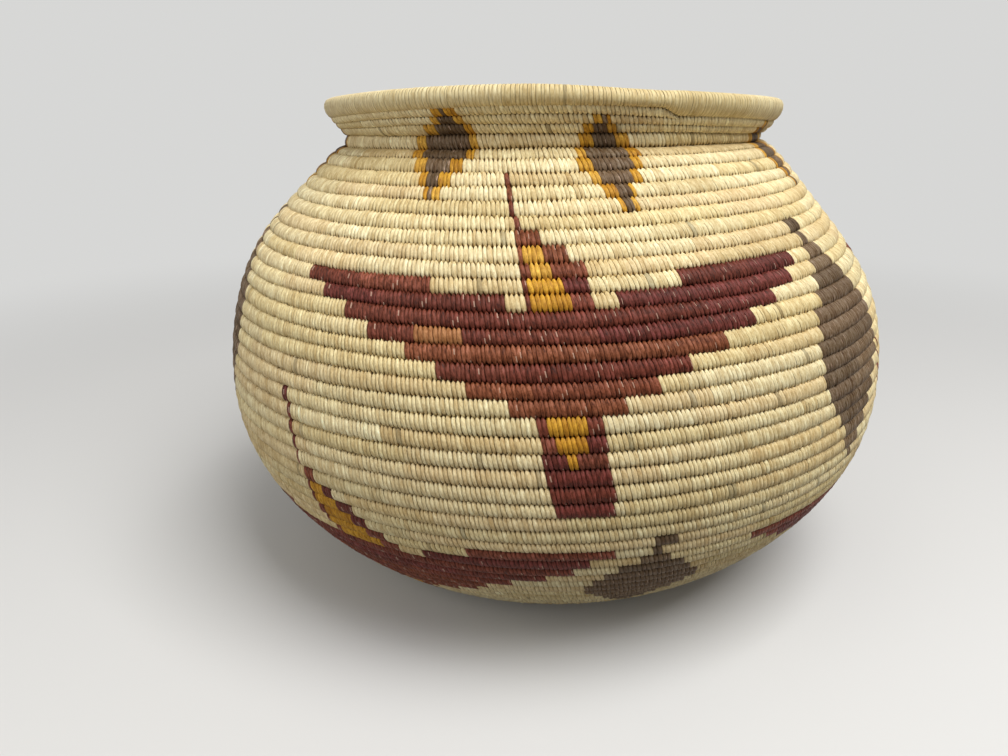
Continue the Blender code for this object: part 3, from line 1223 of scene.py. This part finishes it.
class PalmDyer:
    """Makes the palm materials, and the effects that they share."""

    relief_distance: float = 0.00045
    specular: float = 0.24

    def __init__(self) -> None:
        """Builds the shared effects once."""
        self.fibre = SplintFibre().tree
        self.age = PalmAge().tree

    def material(self, finish: PalmFinish) -> bpy.types.Material:
        """Makes the material of one finish.

        Args:
            finish: How the palm looks.

        Returns:
            The material.
        """
        material = bpy.data.materials.new(finish.name)
        material.use_nodes = True
        kit = NodeKit(material.node_tree)
        colour = kit.node("Attribute", {}, attribute_name="splint_colour")
        threads = kit.node("UVMap", {}, uv_map="stitches")
        inputs = {
            "Colour": colour.outputs["Color"],
            "Contrast": colour.outputs["Alpha"],
            "Map": threads.outputs["UV"],
            "Streak": finish.streak_and_highlight,
            "Slit": finish.slit,
            "Upper Tips": finish.upper_tips,
        }
        fibre = kit.node("Group", inputs, node_tree=self.fibre).outputs
        inputs = {"Colour": fibre["Colour"], "Amount": finish.soil, "Roughness": finish.roughness}
        age = kit.node("Group", inputs, node_tree=self.age).outputs
        inputs = {"Height": fibre["Height"], "Strength": finish.relief, "Distance": self.relief_distance}
        relief = kit.node("Bump", inputs).outputs["Normal"]
        shader = material.node_tree.nodes["Principled BSDF"]
        shader.inputs["Specular IOR Level"].default_value = self.specular
        kit.feed(shader.inputs["Base Color"], age["Colour"])
        kit.feed(shader.inputs["Roughness"], age["Roughness"])
        kit.feed(shader.inputs["Normal"], relief)
        return material


class Basket:
    """The whole basket, round by round."""

    def __init__(self, shape: JarShape, laying: Laying, seed: int) -> None:
        """Takes up the coil and makes the finishes.

        Args:
            shape: The jar's outline.
            laying: How its coil is laid.
            seed: Fixes the chance draws.
        """
        self.laying = laying
        self.coil = Coil(shape, laying)
        self.wrapper = StitchedCoil(self.coil, Weaver(self.coil, seed))
        dyer = PalmDyer()
        self.finishes = {
            "wall_palm": dyer.material(PalmFinish("wall_palm_splint")),
            "rim_palm": dyer.material(
                PalmFinish("rim_palm_splint", roughness=0.5, slit=0.80, upper_tips=0.5)
            ),
            "base_palm": dyer.material(PalmFinish("base_palm_splint", roughness=0.66, soil=0.45)),
        }

    def dress(self, piece: bpy.types.Object, node: str, slot: str) -> None:
        """Puts a finished piece in its node's place.

        Args:
            piece: The piece.
            node: The node that it replaces.
            slot: The record's material slot, which names its finish.
        """
        piece.data.materials.append(self.finishes[slot])
        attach(piece, "root")
        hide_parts(node)
        LOG.info("%s: %d faces", piece.name, len(piece.data.polygons))

    def build(self) -> None:
        """Stitches the rim, every round of the wall, the base and the start knot."""
        coil_end = self.laying.coil_end
        rim = self.wrapper.wrap("stitched_rim_coil", coil_end, 1.0, RIM_STITCHING)
        self.dress(rim, "rim_coil", "rim_palm")
        turn = 1
        for zone, count, _, _ in self.laying.zones:
            for number in range(1, count + 1):
                node = f"{zone}_round_{number:02d}"
                first = turn + coil_end - self.laying.coil_tip if turn == 1 else float(turn)
                piece = self.wrapper.wrap(f"stitched_{node}", first, turn + 1.0 - first, WALL_STITCHING)
                self.dress(piece, node, "wall_palm")
                turn += 1
        loops = float(self.laying.base_loops)
        base = self.wrapper.wrap("stitched_base_coil", float(turn), loops, WALL_STITCHING)
        self.dress(base, "base_coil", "base_palm")
        self.dress(StartKnot().wind(self.wrapper, self.laying), "start_knot", "base_palm")


@dataclass(frozen=True)
class PhotoCamera:
    """Where the photograph was taken from, and how."""

    place: Place = (0.0, -0.5246, 0.2941)
    down: float = math.radians(19.607)
    towards_right: float = -0.0613
    roll: float = -0.0115
    focal_pixels: float = 757.0
    image_width: float = 1008.0
    sensor_width: float = 36.0
    nearest: float = 0.01

    def build(self) -> None:
        """Sets up the camera."""
        aside, ahead = math.sin(self.towards_right), math.cos(self.towards_right)
        forward = Vector((aside, ahead, 0.0)) * math.cos(self.down)
        forward.z = -math.sin(self.down)
        level = Vector((ahead, -aside, 0.0))
        upright = level.cross(forward)
        right = level * math.cos(self.roll) + upright * math.sin(self.roll)
        up = upright * math.cos(self.roll) - level * math.sin(self.roll)
        data = bpy.data.cameras.new("photo_camera")
        data.sensor_fit = "HORIZONTAL"
        data.sensor_width = self.sensor_width
        data.lens = self.focal_pixels * self.sensor_width / self.image_width
        data.clip_start = self.nearest
        camera = bpy.data.objects.new("photo_camera", data)
        turned = Matrix((right, up, -forward)).transposed().to_4x4()
        camera.matrix_world = Matrix.Translation(self.place) @ turned
        bpy.context.scene.collection.objects.link(camera)
        bpy.context.scene.camera = camera


@dataclass(frozen=True)
class Studio:
    """A pale floor that fades into a backdrop with the distance, and soft light."""

    floor_colour: Colour = (0.72, 0.715, 0.70)
    floor_bounce: Colour = (0.12, 0.115, 0.11)
    backdrop_colour: Colour = (0.68, 0.68, 0.67)
    floor_half: float = 6.0
    floor_roughness: float = 0.85
    fade_from: float = 0.35
    fade_to: float = 1.30
    sky_colour: Colour = (1.0, 0.985, 0.96)
    sky_strength: float = 0.32
    aim: Place = (0.0, 0.0, 0.14)
    key_place: Place = (0.55, -0.60, 1.55)
    key_side: float = 1.0
    key_power: float = 26.0
    fill_place: Place = (-1.2, -1.1, 0.9)
    fill_side: float = 1.2
    fill_power: float = 7.0

    def floor(self) -> None:
        """Lays the floor."""
        slab = bmesh.new()
        bmesh.ops.create_grid(slab, x_segments=1, y_segments=1, size=self.floor_half)
        mesh = bpy.data.meshes.new("studio_floor")
        slab.to_mesh(mesh)
        slab.free()
        floor = bpy.data.objects.new("studio_floor", mesh)
        bpy.context.scene.collection.objects.link(floor)
        material = bpy.data.materials.new("studio_floor_paper")
        material.use_nodes = True
        shader = material.node_tree.nodes["Principled BSDF"]
        shader.inputs["Roughness"].default_value = self.floor_roughness
        self.paint(material.node_tree)
        mesh.materials.append(material)
        floor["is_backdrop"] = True

    def seen(self, kit: NodeKit) -> Socket:
        """Tells where the camera looks at a surface, straight on, in a reflection or through glass.

        Args:
            kit: Adds the nodes.

        Returns:
            The socket that is 1 there.
        """
        path = kit.node("LightPath", {}).outputs
        found = kit.maths("MAXIMUM", path["Is Camera Ray"], path["Is Glossy Ray"])
        return kit.maths("MAXIMUM", found, path["Is Transmission Ray"])

    def paint(self, tree: bpy.types.NodeTree) -> None:
        """Paints the floor pale where it is seen, and lets it turn into the backdrop with the distance.

        Args:
            tree: The floor's nodes.
        """
        kit = NodeKit(tree)
        seen = self.seen(kit)
        shader = tree.nodes["Principled BSDF"]
        pale = kit.mixed(seen, (*self.floor_bounce, 1.0), (*self.floor_colour, 1.0))
        kit.feed(shader.inputs["Base Color"], pale)
        where = kit.node("TexCoord", {}).outputs["Object"]
        away = kit.node("VectorMath", {"Vector": where}, operation="LENGTH").outputs["Value"]
        share = kit.product(kit.stepped(away, self.fade_from, self.fade_to), seen)
        glow = kit.node("Emission", {"Color": (*self.backdrop_colour, 1.0)}).outputs["Emission"]
        kit.cover(tree.nodes["Material Output"], share, shader.outputs["BSDF"], glow)

    def lamp(self, name: str, place: Place, side: float, power: float) -> None:
        """Hangs one soft lamp that points at the basket.

        Args:
            name: Its name.
            place: Where it hangs.
            side: How wide it is.
            power: Its power in watts.
        """
        data = bpy.data.lights.new(name, "AREA")
        data.size = side
        data.energy = power
        lamp = bpy.data.objects.new(name, data)
        ahead = Vector(self.aim) - Vector(place)
        lamp.matrix_world = Matrix.Translation(place) @ ahead.to_track_quat("-Z", "Y").to_matrix().to_4x4()
        bpy.context.scene.collection.objects.link(lamp)

    def sky(self) -> None:
        """Lights the scene from all round, and shows a pale background to the camera and in reflections."""
        world = bpy.data.worlds.new("studio_world")
        world.use_nodes = True
        nodes = world.node_tree.nodes
        light = nodes["Background"]
        light.inputs["Color"].default_value = (*self.sky_colour, 1.0)
        light.inputs["Strength"].default_value = self.sky_strength
        kit = NodeKit(world.node_tree)
        shown = kit.node("Background", {"Color": (*self.backdrop_colour, 1.0), "Strength": 1.0})
        behind = shown.outputs["Background"]
        kit.cover(nodes["World Output"], self.seen(kit), light.outputs["Background"], behind)
        bpy.context.scene.world = world

    def build(self) -> None:
        """Sets up the floor, the lamps and the background."""
        self.floor()
        self.lamp("key_lamp", self.key_place, self.key_side, self.key_power)
        self.lamp("fill_lamp", self.fill_place, self.fill_side, self.fill_power)
        self.sky()
        bpy.context.scene.view_settings.view_transform = "Standard"


def corners() -> list[list[float]]:
    """The lowest and highest corner of all that shows, as plain lists."""
    return [list(corner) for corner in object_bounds()]


def main() -> None:
    """Builds the scene."""
    logging.basicConfig(level=logging.INFO)
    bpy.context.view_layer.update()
    PhotoCamera().build()
    Studio().build()
    Basket(JarShape(), Laying(), seed=7).build()


if __name__ == "__main__":
    main()
